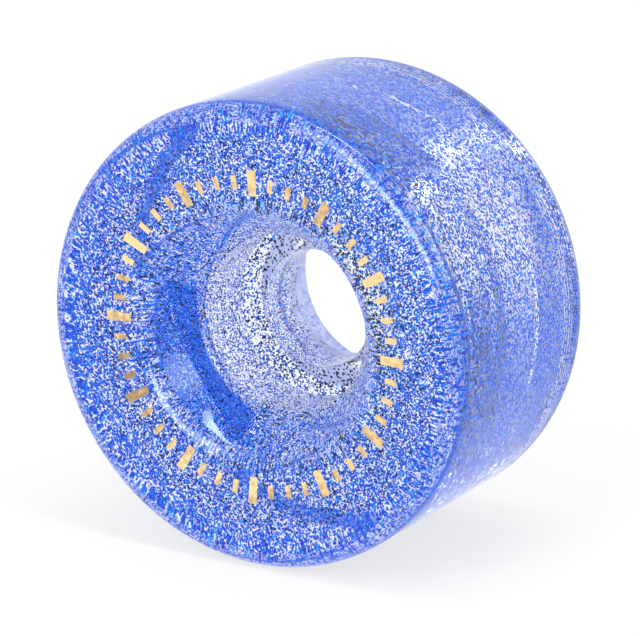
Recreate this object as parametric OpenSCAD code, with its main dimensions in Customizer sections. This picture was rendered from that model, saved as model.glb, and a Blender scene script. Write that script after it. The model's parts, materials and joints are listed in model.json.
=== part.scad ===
// Clear cast skate wheel with glitter in it and gold marks on its front face.
// The axle runs along Y, the front face looks along -Y, and the origin is the wheel's centre.

/* [Wheel] */
// Diameter over the tread
wheel_d = 57; // [50:0.5:70]
// Width over the two side faces
wheel_w = 32; // [29:0.5:44]
// Rounding where the tread turns into a side face
shoulder_r = 2.2; // [1:0.1:4]

/* [Front face] */
// Diameter where the dished face turns down into the recess
recess_d = 31; // [27:0.5:36]
// How far the face falls from the shoulder to the recess
dish_depth = 1.2; // [0.2:0.1:2]
// Rounding of the recess edge
recess_edge_r = 3.2; // [0.5:0.1:3.4]

/* [Hub] */
// Outer diameter of the ball bearings that press into the seats
bearing_d = 22; // [19:0.5:26]
// Depth of each bearing seat
seat_depth = 8; // [7:0.5:9]
// Thickness of the web between the two seats
web_w = 8; // [6:0.5:10]
// Diameter of the axle hole through the web
axle_hole_d = 14.8; // [10:0.1:17]
// Edge break at the mouth of each seat
seat_chamfer = 0.4; // [0.1:0.1:0.8]
// Edge break at the back of the axle hole, which leads the axle in
hole_chamfer = 0.7; // [0.2:0.1:0.8]

/* [Glitter] */
// Width of a flake across its corners
flake_w = 0.3; // [0.2:0.05:0.6]
// Thickness of a flake
flake_t = 0.06; // [0.04:0.01:0.1]
// Clear material between a flake's middle and the nearest surface
flake_cover = 0.6; // [0.4:0.1:1]
// Flakes in the tread ring
tread_flake_count = 120; // [20:10:300]
// Flakes round the bearing seats
hub_flake_count = 50; // [10:10:100]
// Flakes in the web
web_flake_count = 20; // [10:5:60]

/* [Gold marks] */
// Distance of the long bars from the edge of the recess
mark_gap = 1.8; // [1.8:0.1:3]
// Length of a long bar towards the centre
bar_len = 3.2; // [2:0.1:4.5]
// Width of a long bar at the middle of the ring
bar_w = 1.1; // [0.6:0.1:2]
// Number of long bars
bar_count = 12; // [4:1:16]
// Length of a short tick towards the centre
tick_len = 1.6; // [1:0.1:2]
// Width of a short tick at the middle of the ring
tick_w = 0.7; // [0.4:0.1:1.2]
// Short ticks between two long bars
ticks_between = 3; // [1:1:3]
// Thickness of the ink film
ink_t = 0.05; // [0.03:0.01:0.1]

/* [Hidden] */

$fn = 128;
urethane_tint = [0.55, 0.62, 0.96, 0.45];
glitter_blue = [0.10, 0.22, 0.86];
ink_gold = [0.80, 0.64, 0.38];

wheel_r = wheel_d / 2;
half_w = wheel_w / 2;
recess_r = recess_d / 2;
bearing_r = bearing_d / 2;
axle_hole_r = axle_hole_d / 2;
mark_ring_r = recess_r + mark_gap + bar_len / 2;

// Places along the axle, from the back face to the front
back_y = half_w;
web_back_y = back_y - seat_depth;
web_front_y = web_back_y - web_w;
front_mouth_y = web_front_y - seat_depth;
face_inner_y = dish_depth - half_w;
front_y = -half_w;
face_outer_r = wheel_r - shoulder_r;

// Height of the dished front face at a radius
function face_y(r) = front_y + dish_depth * (face_outer_r - r) / (face_outer_r - recess_r);

function unit(v) = v / norm(v);
function fraction(x) = x - floor(x);

// What a rounding of radius r takes off the corner between two straight edges
module corner_waste(before, corner, after, r) {
    to_before = unit(before - corner);
    to_after = unit(after - corner);
    half_angle = acos(to_before * to_after) / 2;
    centre = corner + unit(to_before + to_after) * r / sin(half_angle);
    outside = corner + (corner - centre);
    reach = r / tan(half_angle);
    difference() {
        polygon([outside, corner + to_before * reach, centre, corner + to_after * reach]);
        translate(centre) circle(r);
    }
}

// Half of the wheel's cross-section: radius across, place along the axle upwards
module casting_section() {
    recess_edge = [recess_r, face_inner_y];
    recess_foot = [bearing_r + seat_chamfer, front_mouth_y];
    face_rim = [face_outer_r, front_y];
    front_corner = [wheel_r, front_y];
    back_corner = [wheel_r, back_y];
    back_mouth = [bearing_r + seat_chamfer, back_y];
    difference() {
        polygon([
            [axle_hole_r, web_front_y],
            [bearing_r, web_front_y],
            [bearing_r, front_mouth_y + seat_chamfer],
            recess_foot,
            recess_edge,
            face_rim,
            front_corner,
            back_corner,
            back_mouth,
            [bearing_r, back_y - seat_chamfer],
            [bearing_r, web_back_y],
            [axle_hole_r + hole_chamfer, web_back_y],
            [axle_hole_r, web_back_y - hole_chamfer],
        ]);
        corner_waste(recess_foot, recess_edge, face_rim, recess_edge_r);
        corner_waste(face_rim, front_corner, back_corner, shoulder_r);
        corner_waste(front_corner, back_corner, back_mouth, shoulder_r);
    }
}

// Turns a section's upward axis onto the axle
module along_axle() {
    rotate([-90, 0, 0]) children();
}

// Flakes strewn evenly through a ring: irrational steps keep any two from falling together
module flakes_in_ring(count, inner_r, outer_r, from_y, to_y) {
    turn_step = 0.8191725;
    radius_step = 0.6710436;
    axle_step = 0.5497005;
    lean_step = 0.7548777;
    roll_step = 0.5698403;
    for (i = [1 : count]) {
        turn = 360 * fraction(i * turn_step);
        r = sqrt(inner_r ^ 2 + (outer_r ^ 2 - inner_r ^ 2) * fraction(i * radius_step));
        y = from_y + (to_y - from_y) * fraction(i * axle_step);
        translate([r * cos(turn), y, r * sin(turn)])
            rotate([180 * fraction(i * lean_step), 180 * fraction(i * roll_step), turn])
                cylinder(d = flake_w, h = flake_t, center = true, $fn = 6);
    }
}

module tread_flake_solids() {
    flakes_in_ring(
        tread_flake_count,
        recess_r + flake_cover,
        wheel_r - flake_cover,
        face_inner_y + flake_cover,
        back_y - shoulder_r - flake_cover
    );
}

module hub_flake_solids() {
    flakes_in_ring(
        hub_flake_count,
        bearing_r + seat_chamfer + flake_cover,
        recess_r - flake_cover,
        front_mouth_y + recess_edge_r + flake_cover,
        back_y - flake_cover
    );
}

module web_flake_solids() {
    flakes_in_ring(
        web_flake_count,
        axle_hole_r + flake_cover,
        bearing_r - flake_cover,
        web_front_y + flake_cover,
        web_back_y - flake_cover
    );
}

// The film of a ring of marks lies on the dished face and follows its slope
module marks(count, skip, len, width) {
    inner_r = mark_ring_r - len / 2;
    outer_r = mark_ring_r + len / 2;
    step = 360 / count;
    sweep = 2 * atan(width / 2 / mark_ring_r);
    for (i = [0 : count - 1])
        if (skip == 0 || i % skip != 0)
            along_axle()
                rotate(i * step - sweep / 2)
                    rotate_extrude(angle = sweep)
                        polygon([
                            [inner_r, face_y(inner_r)],
                            [outer_r, face_y(outer_r)],
                            [outer_r, face_y(outer_r) - ink_t],
                            [inner_r, face_y(inner_r) - ink_t],
                        ]);
}

module urethane_casting() {
    color(urethane_tint)
        difference() {
            along_axle() rotate_extrude() casting_section();
            tread_flake_solids();
            hub_flake_solids();
            web_flake_solids();
        }
}

module tread_flakes() {
    color(glitter_blue) tread_flake_solids();
}

module hub_flakes() {
    color(glitter_blue) hub_flake_solids();
}

module web_flakes() {
    color(glitter_blue) web_flake_solids();
}

module gold_bars() {
    color(ink_gold) marks(bar_count, 0, bar_len, bar_w);
}

module gold_ticks() {
    color(ink_gold) marks(bar_count * (ticks_between + 1), ticks_between + 1, tick_len, tick_w);
}

urethane_casting();
tread_flakes();
hub_flakes();
web_flakes();
gold_bars();
gold_ticks();
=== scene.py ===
import json
import math

import bpy
import numpy as np
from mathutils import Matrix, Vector


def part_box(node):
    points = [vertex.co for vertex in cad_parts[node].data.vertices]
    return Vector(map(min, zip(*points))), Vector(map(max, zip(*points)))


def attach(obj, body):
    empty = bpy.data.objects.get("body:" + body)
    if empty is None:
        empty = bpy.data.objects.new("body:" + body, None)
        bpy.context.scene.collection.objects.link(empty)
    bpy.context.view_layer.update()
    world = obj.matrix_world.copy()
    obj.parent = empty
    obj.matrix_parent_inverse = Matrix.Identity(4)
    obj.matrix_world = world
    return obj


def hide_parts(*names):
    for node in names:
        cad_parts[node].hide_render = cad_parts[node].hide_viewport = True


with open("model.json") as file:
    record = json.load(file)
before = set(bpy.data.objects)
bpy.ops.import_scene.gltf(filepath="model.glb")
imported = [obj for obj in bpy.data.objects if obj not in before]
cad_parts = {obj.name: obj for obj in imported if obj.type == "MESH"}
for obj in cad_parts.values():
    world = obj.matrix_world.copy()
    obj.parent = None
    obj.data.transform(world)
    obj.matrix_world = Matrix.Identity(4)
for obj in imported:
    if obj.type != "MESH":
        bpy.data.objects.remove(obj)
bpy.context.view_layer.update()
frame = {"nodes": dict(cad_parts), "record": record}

MM = 0.001

# Sizes of the wheel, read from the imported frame
MOUNTS = {mount["name"]: mount for mount in frame["record"]["mounts"]}
CASTING_LOW, CASTING_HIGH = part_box("urethane_casting")
WHEEL_R = CASTING_HIGH.x
HALF_W = CASTING_HIGH.y
BEARING_R = MOUNTS["rear_bearing_seat"]["dims"]["r_mm"] * MM
AXLE_HOLE_R = MOUNTS["axle_hole"]["dims"]["r_mm"] * MM
SEAT_HALF = MOUNTS["rear_bearing_seat"]["dims"]["length_mm"] * MM / 2
WEB_FRONT = MOUNTS["front_bearing_seat"]["pos_m"][1] + SEAT_HALF
WEB_BACK = MOUNTS["rear_bearing_seat"]["pos_m"][1] - SEAT_HALF

# Sizes of the wheel that the frame doesn't state
SHOULDER_R = 2.2 * MM
RECESS_R = 15.5 * MM
DISH_DEPTH = 1.2 * MM
RECESS_EDGE_R = 3.2 * MM
SEAT_CHAMFER = 0.4 * MM
HOLE_CHAMFER = 0.7 * MM
SEAT_DEPTH = HALF_W - WEB_BACK
FRONT_MOUTH = WEB_FRONT - SEAT_DEPTH
FACE_OUTER_R = WHEEL_R - SHOULDER_R

# Turning marks left on the tread by the lathe, beside the back shoulder
GROOVE_PITCH = 0.65 * MM
GROOVE_WIDTH = 0.2 * MM
GROOVE_DEPTH = 0.05 * MM
GROOVE_COUNT = 6

# How finely the casting is revolved and its cross-section divided, and the bend that stays sharp
CASTING_TURNS = 256
ARC_STEPS = 12
FACE_STEPS = 8
WALL_STEPS = 6
FLOOR_STEPS = 4
CHAMFER_STEPS = 2
SHARP_BEND = math.radians(15)

# Clear urethane: how it bends light, and its tint in the light that it passes and that it reflects
URETHANE_IOR = 1.49
URETHANE_TINT = (0.6, 0.72, 1.0)
URETHANE_TINT_DENSITY = 14
URETHANE_REFLECTION = (0.7, 0.85, 1.0)

# Roughness of the casting's surfaces
CLEAR = 0.01
SHOULDER = 0.08
BACK_SHOULDER = 0.35
BORE = 0.05
FROSTED = 0.3

# Glitter: thin flakes of film, whose width varies between two shares of the usual one
FLAKE_SIDES = 6
FLAKE_CORNERS = FLAKE_SIDES + 2
FLAKE_W = 0.3 * MM
FLAKE_SPREAD = (0.7, 1.2)
FLAKE_T = 0.03 * MM
FLAKES_PER_MM3 = 1.3
FLAKE_SEED = 57
# The least urethane over a flake
FLAKE_COVER = 0.03 * MM
# How much more the flakes lie flat, as they sank in the mould, than they would at random
FLAKE_LEVELLING = 1.4
# Colour and roughness of each kind of flake; the near-black navy kind is painted shade, not a film of its
# own
FLAKE_LOOKS = {
    "navy": ((0.003, 0.008, 0.05), 0.4),
    "royal": ((0.003, 0.22, 0.94), 0.2),
    "azure": ((0.06, 0.4, 1.0), 0.25),
}
AZURE_SHARE = 0.2
# The navy flakes are painted shade: they lie close to the front seat, the axle hole and the web's surfaces,
# and under the face, where the flakes look dark in shade
SEAT_PAINTED_SHADE_SHARE = 0.95
SEAT_PAINTED_SHADE_DEPTH = 3 * MM
FACE_PAINTED_SHADE_SHARE = 0.6
FACE_PAINTED_SHADE_DEPTH = 5 * MM
FACE_PAINTED_SHADE_R = 24 * MM
# The most faces that one piece gets
PIECE_FACES = 190000

# Gold ink: a fine mottling and a broad dulling as (scale, detail, roughness) of a noise, the range of the
# noise in which the ink goes from dull to bright, and its finish
INK_MOTTLING = (1400, 5, 0.7)
INK_DULLING = (90, 1, 0.5)
INK_RANGE = (0.38, 0.56)
INK_COLOURS = ((0.26, 0.17, 0.08), (0.8, 0.57, 0.28))
INK_METALLIC = 0.3
INK_ROUGHNESS = 0.5

# White ground: its size, how much of it is matte and takes the shadow, and how pale that is
GROUND_HALF = 3.0
GROUND_MATTE = 0.33
GROUND_GREY = 0.75

# Studio light: a white room, and softboxes as (direction, half sizes on a sky of radius 1, brightness)
ROOM_LEVEL = 1.0
SOFTBOXES = {
    "right": ((0.84, -0.12, 0.52), (0.35, 0.35, 0.42), 5.0),
    "top": ((0.12, -0.1, 0.99), (0.4, 0.07, 0.5), 20.0),
    "front": ((-0.1, -0.82, 0.56), (0.25, 0.5, 0.5), 8.0),
}
# A card in front of the wheel that shows only in its gloss, along the rounded edges
GLOSS_CARD = ((0.04, -0.98, 0.11), (0.42, 0.4, 0.4), 12.0)
# The share of a softbox at its full brightness, before it fades towards its edge
SOFTBOX_CORE = 0.2

# The photograph's camera, in its 640 by 636 frame
PHOTO_W, PHOTO_H = 640, 636
CAMERA_AZIMUTH = math.radians(30.52)
CAMERA_ELEVATION = math.radians(15.87)
CAMERA_DISTANCE = 431.58 * MM
FOCAL_PX = 3547.1
AXIS_PX = (317.8, 308.4)
SENSOR_W = 36.0

# Light in the clear casting passes many surfaces before it leaves
CLEAR_BOUNCES = 48
DIFFUSE_BOUNCES = 16


def face_y(r):
    """Place of the dished front face along the axle, at a radius."""
    return -HALF_W + DISH_DEPTH * (FACE_OUTER_R - r) / (FACE_OUTER_R - RECESS_R)


def straight(start, end, steps):
    """Points from start up to, but not including, end."""
    start, end = np.array(start), np.array(end)
    return [start + (end - start) * i / steps for i in range(steps)]


def rounded(before, corner, after, radius):
    """Points of the arc that rounds a corner, from its first tangent point to its last."""
    before, corner, after = (np.array(p, float) for p in (before, corner, after))
    to_before = (before - corner) / np.linalg.norm(before - corner)
    to_after = (after - corner) / np.linalg.norm(after - corner)
    half_angle = math.acos(float(to_before @ to_after)) / 2
    bisector = (to_before + to_after) / np.linalg.norm(to_before + to_after)
    centre = corner + bisector * radius / math.sin(half_angle)
    first = corner + to_before * radius / math.tan(half_angle) - centre
    last = corner + to_after * radius / math.tan(half_angle) - centre
    sweep = math.pi - 2 * half_angle
    points = []
    for i in range(ARC_STEPS + 1):
        t = i / ARC_STEPS
        way = math.sin((1 - t) * sweep) * first + math.sin(t * sweep) * last
        points.append(centre + way / math.sin(sweep))
    return points


def tread_line():
    """Points along the tread, from the front shoulder to the turning marks beside the back one."""
    front = -(HALF_W - SHOULDER_R)
    first_groove = -front - GROOVE_COUNT * GROOVE_PITCH
    points = straight((WHEEL_R, front), (WHEEL_R, first_groove), FACE_STEPS)
    for i in range(GROOVE_COUNT):
        y = first_groove + i * GROOVE_PITCH
        points.append(np.array((WHEEL_R, y)))
        points.append(np.array((WHEEL_R - GROOVE_DEPTH, y + GROOVE_WIDTH / 2)))
        points.append(np.array((WHEEL_R, y + GROOVE_WIDTH)))
    return points


def casting_runs():
    """The casting's cross-section as runs of (radius, place along the axle), each with its roughness."""
    foot = (BEARING_R + SEAT_CHAMFER, FRONT_MOUTH)
    edge = (RECESS_R, face_y(RECESS_R))
    rim = (FACE_OUTER_R, -HALF_W)
    front_corner = (WHEEL_R, -HALF_W)
    back_corner = (WHEEL_R, HALF_W)
    back_mouth = (BEARING_R + SEAT_CHAMFER, HALF_W)
    front_seat = (BEARING_R, FRONT_MOUTH + SEAT_CHAMFER)
    back_seat = (BEARING_R, HALF_W - SEAT_CHAMFER)
    hole_back = (AXLE_HOLE_R, WEB_BACK - HOLE_CHAMFER)
    hole_mouth = (AXLE_HOLE_R + HOLE_CHAMFER, WEB_BACK)
    edge_arc = rounded(foot, edge, rim, RECESS_EDGE_R)
    front_arc = rounded(rim, front_corner, back_corner, SHOULDER_R)
    back_arc = rounded(front_corner, back_corner, back_mouth, SHOULDER_R)
    return [
        (CLEAR, straight((AXLE_HOLE_R, WEB_FRONT), (BEARING_R, WEB_FRONT), FLOOR_STEPS)),
        (CLEAR, straight((BEARING_R, WEB_FRONT), front_seat, WALL_STEPS)),
        (CLEAR, straight(front_seat, foot, CHAMFER_STEPS)),
        (CLEAR, straight(foot, edge_arc[0], WALL_STEPS)),
        (CLEAR, edge_arc[:-1]),
        (CLEAR, straight(edge_arc[-1], rim, FACE_STEPS)),
        (SHOULDER, front_arc[:-1]),
        (CLEAR, tread_line()),
        (BACK_SHOULDER, back_arc[:-1]),
        (CLEAR, straight(back_arc[-1], back_mouth, FACE_STEPS)),
        (CLEAR, straight(back_mouth, back_seat, CHAMFER_STEPS)),
        (FROSTED, straight(back_seat, (BEARING_R, WEB_BACK), WALL_STEPS)),
        (FROSTED, straight((BEARING_R, WEB_BACK), hole_mouth, FLOOR_STEPS)),
        (FROSTED, straight(hole_mouth, hole_back, CHAMFER_STEPS)),
        (BORE, straight(hole_back, (AXLE_HOLE_R, WEB_FRONT), WALL_STEPS)),
    ]


def casting_outline():
    """The closed cross-section of the casting as (radius, place along the axle)."""
    return np.array([point for _, points in casting_runs() for point in points])


def new_piece(name, vertices, faces, material, slot, *nodes):
    """A mesh piece on the wheel that stands for CAD nodes."""
    mesh = bpy.data.meshes.new(name)
    mesh.from_pydata(vertices, [], faces)
    mesh.update()
    piece = bpy.data.objects.new(name, mesh)
    bpy.context.scene.collection.objects.link(piece)
    mesh.materials.append(material)
    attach(piece, "root")
    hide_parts(*nodes)
    return piece


def revolve(outline, turns):
    """Vertices and faces of a closed outline revolved about the axle."""
    count = len(outline)
    angles = np.arange(turns) * 2 * math.pi / turns
    r, y = outline.T
    vertices = np.empty((turns, count, 3))
    vertices[:, :, 0] = np.cos(angles)[:, None] * r
    vertices[:, :, 1] = y
    vertices[:, :, 2] = np.sin(angles)[:, None] * r
    i, j = np.meshgrid(np.arange(turns), np.arange(count), indexing="ij")
    row, row_next = i * count, (i + 1) % turns * count
    j_next = (j + 1) % count
    faces = np.stack([row + j, row + j_next, row_next + j_next, row_next + j], -1)
    return vertices.reshape(-1, 3), faces.reshape(-1, 4)


def principled(name):
    """A material and its Principled shader."""
    material = bpy.data.materials.new(name)
    material.use_nodes = True
    return material, material.node_tree.nodes["Principled BSDF"]


def urethane_material():
    """Clear urethane, tinted through its depth, with the roughness of each face from the mesh."""
    material, shader = principled("clear_urethane")
    nodes, links = material.node_tree.nodes, material.node_tree.links
    shader.inputs["Base Color"].default_value = (1, 1, 1, 1)
    shader.inputs["Transmission Weight"].default_value = 1
    shader.inputs["IOR"].default_value = URETHANE_IOR
    shader.inputs["Specular Tint"].default_value = (*URETHANE_REFLECTION, 1)
    surface = nodes.new("ShaderNodeAttribute")
    surface.attribute_name = "surface_roughness"
    links.new(surface.outputs["Fac"], shader.inputs["Roughness"])
    tint = nodes.new("ShaderNodeVolumeAbsorption")
    tint.inputs["Color"].default_value = (*URETHANE_TINT, 1)
    tint.inputs["Density"].default_value = URETHANE_TINT_DENSITY
    links.new(tint.outputs["Volume"], nodes["Material Output"].inputs["Volume"])
    return material


def flake_material(name, colour, roughness):
    """Metallised film."""
    material, shader = principled(name)
    shader.inputs["Base Color"].default_value = (*colour, 1)
    shader.inputs["Metallic"].default_value = 1
    shader.inputs["Roughness"].default_value = roughness
    return material


def ink_noise(nodes, links, place, scale, detail, roughness):
    """A noise over the printed marks."""
    noise = nodes.new("ShaderNodeTexNoise")
    noise.inputs["Scale"].default_value = scale
    noise.inputs["Detail"].default_value = detail
    noise.inputs["Roughness"].default_value = roughness
    links.new(place, noise.inputs["Vector"])
    return noise.outputs["Fac"]


def gold_material():
    """Thin gold ink, finely mottled where it printed unevenly, and duller from place to place."""
    material, shader = principled("gold_ink")
    nodes, links = material.node_tree.nodes, material.node_tree.links
    place = nodes.new("ShaderNodeTexCoord").outputs["Object"]
    halves = nodes.new("ShaderNodeMix")
    halves.inputs["Factor"].default_value = 0.5
    links.new(ink_noise(nodes, links, place, *INK_MOTTLING), halves.inputs["A"])
    links.new(ink_noise(nodes, links, place, *INK_DULLING), halves.inputs["B"])
    ramp = nodes.new("ShaderNodeValToRGB")
    for element, position, colour in zip(ramp.color_ramp.elements, INK_RANGE, INK_COLOURS):
        element.position = position
        element.color = (*colour, 1)
    links.new(halves.outputs["Result"], ramp.inputs["Fac"])
    links.new(ramp.outputs["Color"], shader.inputs["Base Color"])
    shader.inputs["Metallic"].default_value = INK_METALLIC
    shader.inputs["Roughness"].default_value = INK_ROUGHNESS
    return material


def build_casting():
    """The clear casting, which keeps the roughness of each face in its mesh."""
    vertices, faces = revolve(casting_outline(), CASTING_TURNS)
    piece = new_piece("casting", vertices, faces, urethane_material(), "clear_urethane", "urethane_casting")
    around = [roughness for roughness, points in casting_runs() for _ in points]
    surface = piece.data.attributes.new("surface_roughness", "FLOAT", "FACE")
    surface.data.foreach_set("value", np.tile(around, CASTING_TURNS).astype(np.float32))
    piece.data.shade_smooth()
    piece.data.set_sharp_from_angle(angle=SHARP_BEND)


def distance_inside(points, outline):
    """How deep each (radius, place) lies inside the outline, and below zero outside it."""
    nearest = np.full(len(points), np.inf)
    inside = np.zeros(len(points), bool)
    for a, b in zip(outline, np.roll(outline, -1, axis=0)):
        edge = b - a
        offset = points - a
        t = np.clip(offset @ edge / (edge @ edge), 0, 1)
        nearest = np.minimum(nearest, np.linalg.norm(offset - t[:, None] * edge, axis=1))
        crosses = (a[1] > points[:, 1]) != (b[1] > points[:, 1])
        if crosses.any():
            cut = a[0] + edge[0] * (points[:, 1] - a[1]) / edge[1]
            inside ^= crosses & (points[:, 0] < cut)
    return np.where(inside, nearest, -nearest)


def flake_corners(rng):
    """The corners of each thin flake, strewn evenly through the casting and turned at random."""
    ring_area = math.pi * (WHEEL_R**2 - AXLE_HOLE_R**2)
    count = round(FLAKES_PER_MM3 * ring_area * 2 * HALF_W / MM**3)
    r = np.sqrt(rng.uniform(AXLE_HOLE_R**2, WHEEL_R**2, count))
    y = rng.uniform(-HALF_W, HALF_W, count)
    turn = rng.uniform(0, 2 * math.pi, count)
    middles = np.stack([r * np.cos(turn), y, r * np.sin(turn)], 1)
    normal = rng.normal(size=(count, 3)) * (1, FLAKE_LEVELLING, 1)
    normal /= np.linalg.norm(normal, axis=1, keepdims=True)
    side = np.cross(normal, rng.normal(size=(count, 3)))
    side /= np.linalg.norm(side, axis=1, keepdims=True)
    across = np.cross(normal, side)
    width = FLAKE_W * rng.uniform(*FLAKE_SPREAD, (count, 1))
    corners = np.empty((count, FLAKE_CORNERS, 3))
    for k in range(FLAKE_SIDES):
        angle = 2 * math.pi * k / FLAKE_SIDES
        corners[:, k] = middles + (math.cos(angle) * side + math.sin(angle) * across) * width / 2
    corners[:, FLAKE_SIDES] = middles + normal * FLAKE_T / 2
    corners[:, FLAKE_SIDES + 1] = middles - normal * FLAKE_T / 2
    section = np.stack([np.hypot(corners[..., 0], corners[..., 2]), corners[..., 1]], -1)
    depth = distance_inside(section.reshape(-1, 2), casting_outline()).reshape(count, FLAKE_CORNERS)
    return corners[depth.min(1) > FLAKE_COVER]


def flake_faces(count):
    """Triangles of a run of flakes: from each side of the rim to the middle above it and below it."""
    pattern = []
    for k in range(FLAKE_SIDES):
        k_next = (k + 1) % FLAKE_SIDES
        pattern.append((k, k_next, FLAKE_SIDES))
        pattern.append((k_next, k, FLAKE_SIDES + 1))
    first_corners = np.arange(count) * FLAKE_CORNERS
    return (first_corners[:, None, None] + np.array(pattern)).reshape(-1, 3)


def build_glitter():
    """Flakes of three kinds all through the casting, with the near-black navy ones as painted shade close
    to the hub's surfaces and face.
    """
    rng = np.random.default_rng(FLAKE_SEED)
    corners = flake_corners(rng)
    middles = corners.mean(1)
    r = np.hypot(middles[:, 0], middles[:, 2])
    y = middles[:, 1]
    depth = distance_inside(np.stack([r, y], 1), casting_outline())
    # Painted shade: flakes under the face and by the seats are made near-black where real flakes look dark
    # in shade
    under_face = (y < FRONT_MOUTH) & (r < FACE_PAINTED_SHADE_R) & (depth < FACE_PAINTED_SHADE_DEPTH)
    by_seat = (y < WEB_BACK) & (r < RECESS_R) & (depth < SEAT_PAINTED_SHADE_DEPTH) & ~under_face
    draw = rng.uniform(size=len(corners))
    navy = by_seat & (draw < SEAT_PAINTED_SHADE_SHARE) | under_face & (draw < FACE_PAINTED_SHADE_SHARE)
    azure = ~navy & (draw > 1 - AZURE_SHARE)
    kinds = {"navy": navy, "royal": ~navy & ~azure, "azure": azure}
    for name, chosen in kinds.items():
        material = flake_material(f"{name}_glitter", *FLAKE_LOOKS[name])
        pieces = math.ceil(chosen.sum() * 2 * FLAKE_SIDES / PIECE_FACES)
        for i, share in enumerate(np.array_split(corners[chosen], pieces)):
            new_piece(f"{name}_flakes_{i + 1}", share.reshape(-1, 3), flake_faces(len(share)), material,
                      "blue_glitter", "tread_flakes", "hub_flakes", "web_flakes")


def gild_marks():
    """Gives the CAD's own printed marks their gold ink."""
    gold = gold_material()
    for node in ("gold_bars", "gold_ticks"):
        for slot in frame["nodes"][node].material_slots:
            slot.material = gold


def build_floor():
    """White ground under the wheel, which glows a little so that it stays white and takes a pale shadow."""
    half, z = GROUND_HALF, CASTING_LOW.z
    corners = [(-half, -half, z), (half, -half, z), (half, half, z), (-half, half, z)]
    mesh = bpy.data.meshes.new("floor")
    mesh.from_pydata(corners, [], [(0, 1, 2, 3)])
    floor = bpy.data.objects.new("floor", mesh)
    bpy.context.scene.collection.objects.link(floor)
    material = bpy.data.materials.new("white_ground")
    material.use_nodes = True
    nodes, links = material.node_tree.nodes, material.node_tree.links
    nodes.clear()
    output = nodes.new("ShaderNodeOutputMaterial")
    mix = nodes.new("ShaderNodeMixShader")
    glow = nodes.new("ShaderNodeEmission")
    matte = nodes.new("ShaderNodeBsdfDiffuse")
    matte.inputs["Color"].default_value = (GROUND_GREY, GROUND_GREY, GROUND_GREY, 1)
    mix.inputs["Fac"].default_value = GROUND_MATTE
    links.new(glow.outputs["Emission"], mix.inputs[1])
    links.new(matte.outputs["BSDF"], mix.inputs[2])
    links.new(mix.outputs["Shader"], output.inputs["Surface"])
    mesh.materials.append(material)


def softbox(nodes, links, direction, way, reach, brightness):
    """How bright a patch with soft edges makes the sky: its middle, its half sizes and its brightness."""
    offset = nodes.new("ShaderNodeVectorMath")
    offset.operation = "SUBTRACT"
    offset.inputs[1].default_value = Vector(way).normalized()
    scaled = nodes.new("ShaderNodeVectorMath")
    scaled.operation = "DIVIDE"
    scaled.inputs[1].default_value = reach
    apart = nodes.new("ShaderNodeVectorMath")
    apart.operation = "LENGTH"
    patch = nodes.new("ShaderNodeMapRange")
    patch.interpolation_type = "SMOOTHSTEP"
    patch.inputs["From Min"].default_value = 1
    patch.inputs["From Max"].default_value = SOFTBOX_CORE
    patch.inputs["To Min"].default_value = 0
    patch.inputs["To Max"].default_value = brightness
    links.new(direction, offset.inputs[0])
    links.new(offset.outputs["Vector"], scaled.inputs[0])
    links.new(scaled.outputs["Vector"], apart.inputs[0])
    links.new(apart.outputs["Value"], patch.inputs["Value"])
    return patch.outputs["Result"]


def reckon(nodes, links, operation, *values):
    """The result of a Math node on some values."""
    node = nodes.new("ShaderNodeMath")
    node.operation = operation
    for value, socket in zip(values, node.inputs):
        links.new(value, socket)
    return node.outputs["Value"]


def build_world():
    """An evenly white room with the softboxes in it, and a card that only reflections show."""
    world = bpy.data.worlds.new("white_studio")
    bpy.context.scene.world = world
    world.use_nodes = True
    nodes, links = world.node_tree.nodes, world.node_tree.links
    direction = nodes.new("ShaderNodeTexCoord").outputs["Generated"]
    total = nodes.new("ShaderNodeValue").outputs["Value"]
    total.default_value = ROOM_LEVEL
    for box in SOFTBOXES.values():
        total = reckon(nodes, links, "ADD", softbox(nodes, links, direction, *box), total)
    path = nodes.new("ShaderNodeLightPath").outputs
    mirrored = reckon(nodes, links, "MULTIPLY", path["Is Glossy Ray"], path["Is Reflection Ray"])
    card = softbox(nodes, links, direction, *GLOSS_CARD)
    total = reckon(nodes, links, "MULTIPLY_ADD", card, mirrored, total)
    links.new(total, nodes["Background"].inputs["Strength"])
    nodes["Background"].inputs["Color"].default_value = (1, 1, 1, 1)


def build_camera():
    """The camera of the photograph, aimed at the wheel's middle."""
    across = math.cos(CAMERA_ELEVATION) * math.sin(CAMERA_AZIMUTH)
    ahead = math.cos(CAMERA_ELEVATION) * math.cos(CAMERA_AZIMUTH)
    way = Vector((across, -ahead, math.sin(CAMERA_ELEVATION)))
    data = bpy.data.cameras.new("photo_camera")
    data.sensor_width = SENSOR_W
    data.lens = FOCAL_PX * SENSOR_W / PHOTO_W
    data.shift_x = (PHOTO_W / 2 - AXIS_PX[0]) / PHOTO_W
    data.shift_y = (AXIS_PX[1] - PHOTO_H / 2) / PHOTO_W
    camera = bpy.data.objects.new("photo_camera", data)
    camera.location = way * CAMERA_DISTANCE
    camera.rotation_euler = way.to_track_quat("Z", "Y").to_euler()
    bpy.context.scene.collection.objects.link(camera)
    bpy.context.scene.camera = camera


def set_bounces():
    """Lets light go on through the clear casting and between the flakes."""
    cycles = bpy.context.scene.cycles
    cycles.max_bounces = CLEAR_BOUNCES
    cycles.glossy_bounces = CLEAR_BOUNCES
    cycles.transmission_bounces = CLEAR_BOUNCES
    cycles.diffuse_bounces = DIFFUSE_BOUNCES


build_camera()
build_casting()
build_glitter()
gild_marks()
build_floor()
build_world()
set_bounces()
bpy.context.scene.view_settings.view_transform = "Standard"
